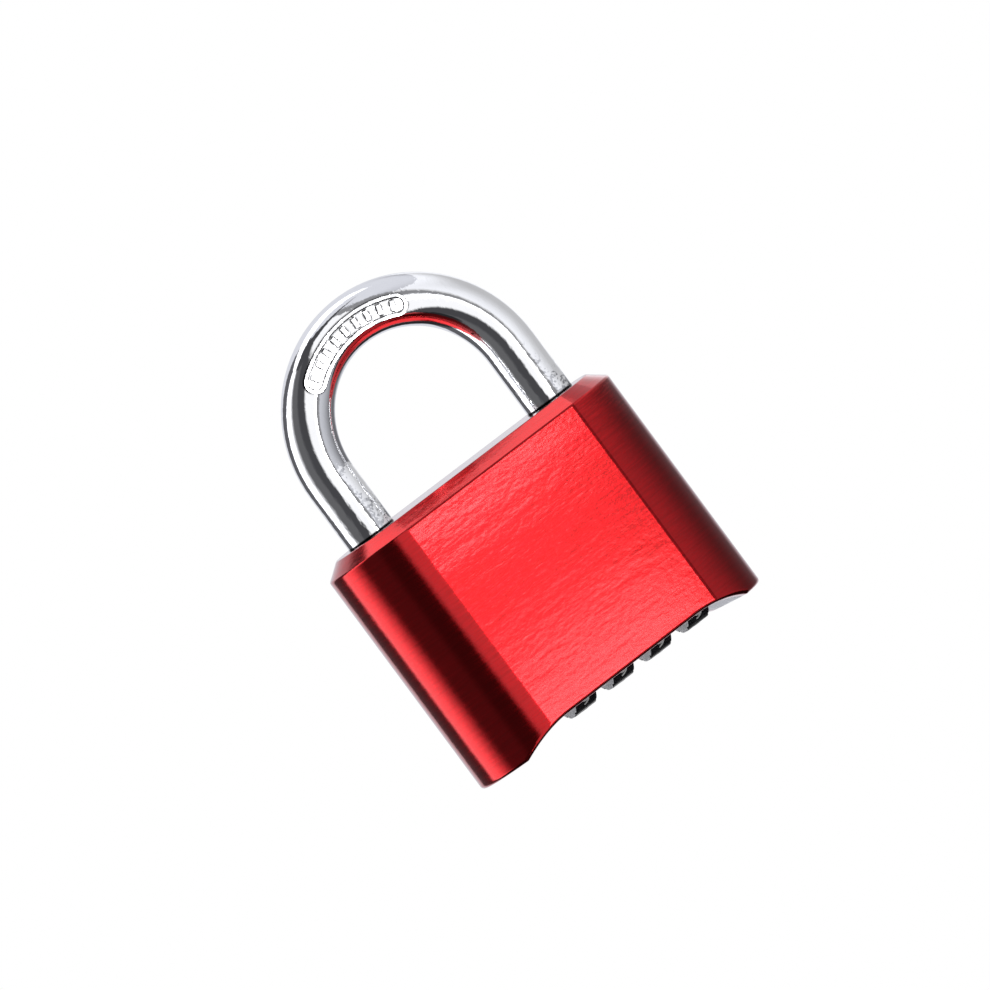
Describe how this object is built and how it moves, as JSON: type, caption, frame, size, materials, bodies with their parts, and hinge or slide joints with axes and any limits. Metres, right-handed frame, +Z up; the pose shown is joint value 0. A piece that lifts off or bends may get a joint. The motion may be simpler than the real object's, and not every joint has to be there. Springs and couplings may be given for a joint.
{
  "type": "combination padlock",
  "caption": "Red lacquered combination padlock with a chromed steel shackle and bottom-read number wheels, with the code mechanism inside.",
  "frame": {"origin": "on the plane of the feet, under the middle of the body", "axes": "+Z up through the shackle, +Y to the back, +X to the toe leg of the shackle"},
  "size_m": [0.0592, 0.026, 0.08],
  "materials": {
    "red_lacquer": "gloss",
    "chrome": "polished",
    "cover_metal": "satin",
    "black_wheel": "gloss",
    "white_fill": "matte",
    "steel": "satin",
    "spring_steel": "satin",
    "brass": "satin"
  },
  "bodies": {
    "case": {"body_shell": "red_lacquer", "bottom_cover": "cover_metal", "index_marks": "white_fill", "cover_pins": "steel", "reset_housing": "cover_metal", "spindle_bearing": "steel", "reset_spring": "spring_steel", "detent_spring": "spring_steel", "detent_rivets": "steel", "lift_spring_front": "spring_steel", "lift_spring_back": "spring_steel"},
    "shackle": {"shackle": "chrome", "locking_carriage": "steel"},
    "plunger": {"reset_plunger": "steel"},
    "spindle": {"spindle": "steel", "spindle_clips": "spring_steel"},
    "wheel_1": {"number_wheel_1": "black_wheel", "wheel_digits_1": "white_fill"},
    "sleeve_1": {"code_sleeve_1": "brass"},
    "wheel_2": {"number_wheel_2": "black_wheel", "wheel_digits_2": "white_fill"},
    "sleeve_2": {"code_sleeve_2": "brass"},
    "wheel_3": {"number_wheel_3": "black_wheel", "wheel_digits_3": "white_fill"},
    "sleeve_3": {"code_sleeve_3": "brass"},
    "wheel_4": {"number_wheel_4": "black_wheel", "wheel_digits_4": "white_fill"},
    "sleeve_4": {"code_sleeve_4": "brass"}
  },
  "joints": [
    {"name": "shackle_lift", "type": "slide", "parent": "case", "child": "shackle", "axis": [0, 0, 1], "range_m": [0, 0.011], "deforming": ["lift_spring_front", "lift_spring_back"]},
    {"name": "plunger_press", "type": "slide", "parent": "case", "child": "plunger", "axis": [0, 0, -1], "range_m": [0, 0.0012], "stiffness_N_per_m": 450},
    {"name": "spindle_shift", "type": "slide", "parent": "case", "child": "spindle", "axis": [1, 0, 0], "range_m": [0, 0.0012], "deforming": ["reset_spring"]},
    {"name": "wheel_1_turn", "type": "hinge", "parent": "case", "child": "wheel_1", "pos_m": [-0.0079, 0, 0.0084], "axis": [1, 0, 0], "continuous": true},
    {"name": "sleeve_1_shift", "type": "slide", "parent": "wheel_1", "child": "sleeve_1", "axis": [1, 0, 0], "range_m": [0, 0.0012]},
    {"name": "wheel_2_turn", "type": "hinge", "parent": "case", "child": "wheel_2", "pos_m": [0.0003, 0, 0.0084], "axis": [1, 0, 0], "continuous": true},
    {"name": "sleeve_2_shift", "type": "slide", "parent": "wheel_2", "child": "sleeve_2", "axis": [1, 0, 0], "range_m": [0, 0.0012]},
    {"name": "wheel_3_turn", "type": "hinge", "parent": "case", "child": "wheel_3", "pos_m": [0.0085, 0, 0.0084], "axis": [1, 0, 0], "continuous": true},
    {"name": "sleeve_3_shift", "type": "slide", "parent": "wheel_3", "child": "sleeve_3", "axis": [1, 0, 0], "range_m": [0, 0.0012]},
    {"name": "wheel_4_turn", "type": "hinge", "parent": "case", "child": "wheel_4", "pos_m": [0.0167, 0, 0.0084], "axis": [1, 0, 0], "continuous": true},
    {"name": "sleeve_4_shift", "type": "slide", "parent": "wheel_4", "child": "sleeve_4", "axis": [1, 0, 0], "range_m": [0, 0.0012]}
  ],
  "couplings": [
    {"joint": "spindle_shift", "follows": "plunger_press", "ratio": 1},
    {"joint": "sleeve_1_shift", "follows": "plunger_press", "ratio": 1},
    {"joint": "sleeve_2_shift", "follows": "plunger_press", "ratio": 1},
    {"joint": "sleeve_3_shift", "follows": "plunger_press", "ratio": 1},
    {"joint": "sleeve_4_shift", "follows": "plunger_press", "ratio": 1}
  ]
}
